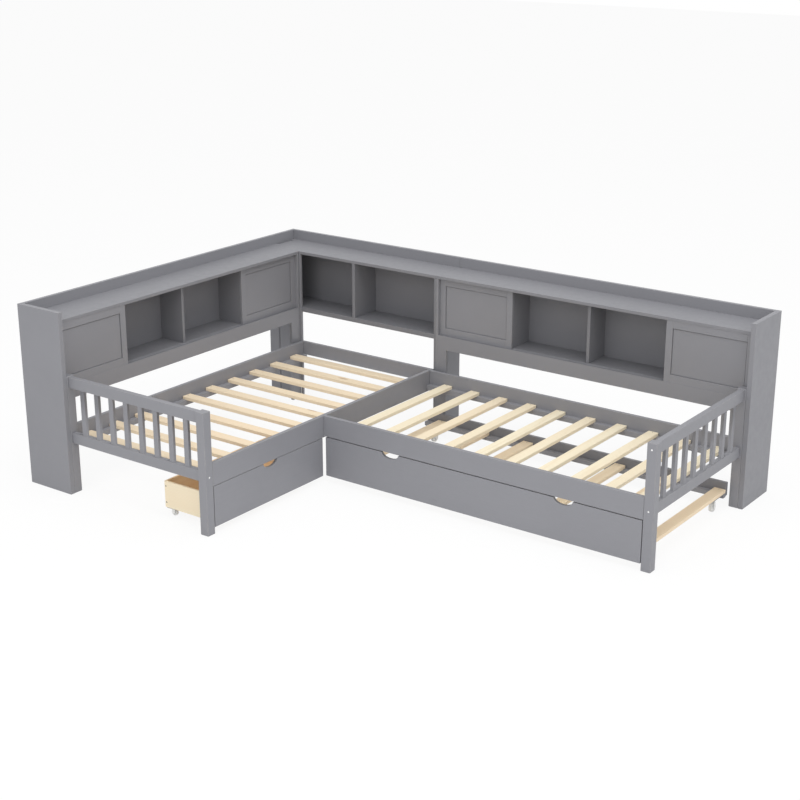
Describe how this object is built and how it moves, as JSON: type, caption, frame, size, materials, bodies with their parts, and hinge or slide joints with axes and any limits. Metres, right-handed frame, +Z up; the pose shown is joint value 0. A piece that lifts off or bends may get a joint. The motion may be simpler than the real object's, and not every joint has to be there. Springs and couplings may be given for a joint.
{
  "type": "l-shaped platform bed",
  "caption": "L-shaped pair of slatted platform beds in front of a corner bookcase with sliding doors, with a roll-out trundle, an under-bed drawer and spindle footboards",
  "frame": {"origin": "middle of the footprint of both wings, on the floor", "axes": "+X along the longer wing away from the corner, +Y toward the wall behind the longer wing, +Z up"},
  "size_m": [3.32, 2.266, 1.016],
  "materials": {
    "gray_paint": "satin gray paint over pine and fibreboard",
    "natural_pine": "planed natural pine, unpainted",
    "white_plastic": "off-white moulded plastic"
  },
  "bodies": {
    "bed_and_bookcase": {"right_end_panel": "gray_paint", "left_end_panel": "gray_paint", "corner_filler_strip": "gray_paint", "corner_left_side_panel": "gray_paint", "corner_right_side_panel": "gray_paint", "corner_top_board": "gray_paint", "corner_floor_board": "gray_paint", "corner_divider": "gray_paint", "corner_gallery_rail": "gray_paint", "corner_back_panel": "gray_paint", "right_inner_side_panel": "gray_paint", "right_top_board": "gray_paint", "right_floor_board": "gray_paint", "right_face_frame": "gray_paint", "right_divider_1": "gray_paint", "right_divider_2": "gray_paint", "right_divider_3": "gray_paint", "right_back_panel": "gray_paint", "right_gallery_rail": "gray_paint", "left_inner_side_panel": "gray_paint", "left_top_board": "gray_paint", "left_floor_board": "gray_paint", "left_face_frame": "gray_paint", "left_divider_1": "gray_paint", "left_divider_2": "gray_paint", "left_divider_3": "gray_paint", "left_back_panel": "gray_paint", "left_gallery_rail": "gray_paint", "left_bed_side_rail": "gray_paint", "left_bed_head_rail": "gray_paint", "shared_side_rail": "gray_paint", "right_bed_rear_rail": "gray_paint", "right_bed_front_rail": "gray_paint", "shared_rail_leg": "gray_paint", "left_bed_slat_base": "natural_pine", "right_bed_slat_base": "natural_pine", "left_rear_post": "gray_paint", "left_front_post": "gray_paint", "left_footboard_grille": "gray_paint", "right_rear_post": "gray_paint", "right_front_post": "gray_paint", "right_footboard_grille": "gray_paint"},
    "right_door_1": {"right_door_1": "gray_paint"},
    "right_door_2": {"right_door_2": "gray_paint"},
    "left_door_1": {"left_door_1": "gray_paint"},
    "left_door_2": {"left_door_2": "gray_paint"},
    "trundle": {"trundle_front": "gray_paint", "trundle_back_rail": "gray_paint", "trundle_slat_base": "natural_pine"},
    "trundle_front_left_wheel": {"trundle_front_left_wheel": "white_plastic"},
    "trundle_front_right_wheel": {"trundle_front_right_wheel": "white_plastic"},
    "trundle_back_left_wheel": {"trundle_back_left_wheel": "white_plastic"},
    "trundle_back_right_wheel": {"trundle_back_right_wheel": "white_plastic"},
    "drawer": {"drawer_front": "gray_paint", "drawer_box": "natural_pine", "drawer_bottom": "natural_pine"},
    "drawer_front_outer_wheel": {"drawer_front_outer_wheel": "white_plastic"},
    "drawer_front_inner_wheel": {"drawer_front_inner_wheel": "white_plastic"},
    "drawer_back_outer_wheel": {"drawer_back_outer_wheel": "white_plastic"},
    "drawer_back_inner_wheel": {"drawer_back_inner_wheel": "white_plastic"}
  },
  "joints": [
    {"name": "right_door_1_slide", "type": "slide", "parent": "bed_and_bookcase", "child": "right_door_1", "axis": [1, 0, 0], "range_m": [0, 1.47]},
    {"name": "right_door_2_slide", "type": "slide", "parent": "bed_and_bookcase", "child": "right_door_2", "axis": [1, 0, 0], "range_m": [-1.47, 0]},
    {"name": "left_door_1_slide", "type": "slide", "parent": "bed_and_bookcase", "child": "left_door_1", "axis": [0, -1, 0], "range_m": [0, 1.463]},
    {"name": "left_door_2_slide", "type": "slide", "parent": "bed_and_bookcase", "child": "left_door_2", "axis": [0, -1, 0], "range_m": [-1.463, 0]},
    {"name": "trundle_slide", "type": "slide", "parent": "bed_and_bookcase", "child": "trundle", "axis": [0, 1, 0], "range_m": [-0.75, 0]},
    {"name": "trundle_front_left_spin", "type": "hinge", "parent": "trundle", "child": "trundle_front_left_wheel", "pos_m": [-0.2385, -0.066, 0.025], "axis": [1, 0, 0], "continuous": true},
    {"name": "trundle_front_right_spin", "type": "hinge", "parent": "trundle", "child": "trundle_front_right_wheel", "pos_m": [1.54, -0.066, 0.025], "axis": [1, 0, 0], "continuous": true},
    {"name": "trundle_back_left_spin", "type": "hinge", "parent": "trundle", "child": "trundle_back_left_wheel", "pos_m": [-0.2385, 0.702, 0.025], "axis": [1, 0, 0], "continuous": true},
    {"name": "trundle_back_right_spin", "type": "hinge", "parent": "trundle", "child": "trundle_back_right_wheel", "pos_m": [1.54, 0.702, 0.025], "axis": [1, 0, 0], "continuous": true},
    {"name": "drawer_slide", "type": "slide", "parent": "bed_and_bookcase", "child": "drawer", "axis": [1, 0, 0], "range_m": [0, 0.3]},
    {"name": "drawer_front_outer_spin", "type": "hinge", "parent": "drawer", "child": "drawer_front_outer_wheel", "pos_m": [-0.426, -0.9995, 0.018], "axis": [0, 1, 0], "continuous": true},
    {"name": "drawer_front_inner_spin", "type": "hinge", "parent": "drawer", "child": "drawer_front_inner_wheel", "pos_m": [-0.426, -0.233, 0.018], "axis": [0, 1, 0], "continuous": true},
    {"name": "drawer_back_outer_spin", "type": "hinge", "parent": "drawer", "child": "drawer_back_outer_wheel", "pos_m": [-0.697, -0.9995, 0.018], "axis": [0, 1, 0], "continuous": true},
    {"name": "drawer_back_inner_spin", "type": "hinge", "parent": "drawer", "child": "drawer_back_inner_wheel", "pos_m": [-0.697, -0.233, 0.018], "axis": [0, 1, 0], "continuous": true}
  ],
  "couplings": [
    {"joint": "trundle_front_left_spin", "follows": "trundle_slide", "rad_per_m": -40},
    {"joint": "trundle_front_right_spin", "follows": "trundle_slide", "rad_per_m": -40},
    {"joint": "trundle_back_left_spin", "follows": "trundle_slide", "rad_per_m": -40},
    {"joint": "trundle_back_right_spin", "follows": "trundle_slide", "rad_per_m": -40},
    {"joint": "drawer_front_outer_spin", "follows": "drawer_slide", "rad_per_m": 55.556},
    {"joint": "drawer_front_inner_spin", "follows": "drawer_slide", "rad_per_m": 55.556},
    {"joint": "drawer_back_outer_spin", "follows": "drawer_slide", "rad_per_m": 55.556},
    {"joint": "drawer_back_inner_spin", "follows": "drawer_slide", "rad_per_m": 55.556}
  ]
}
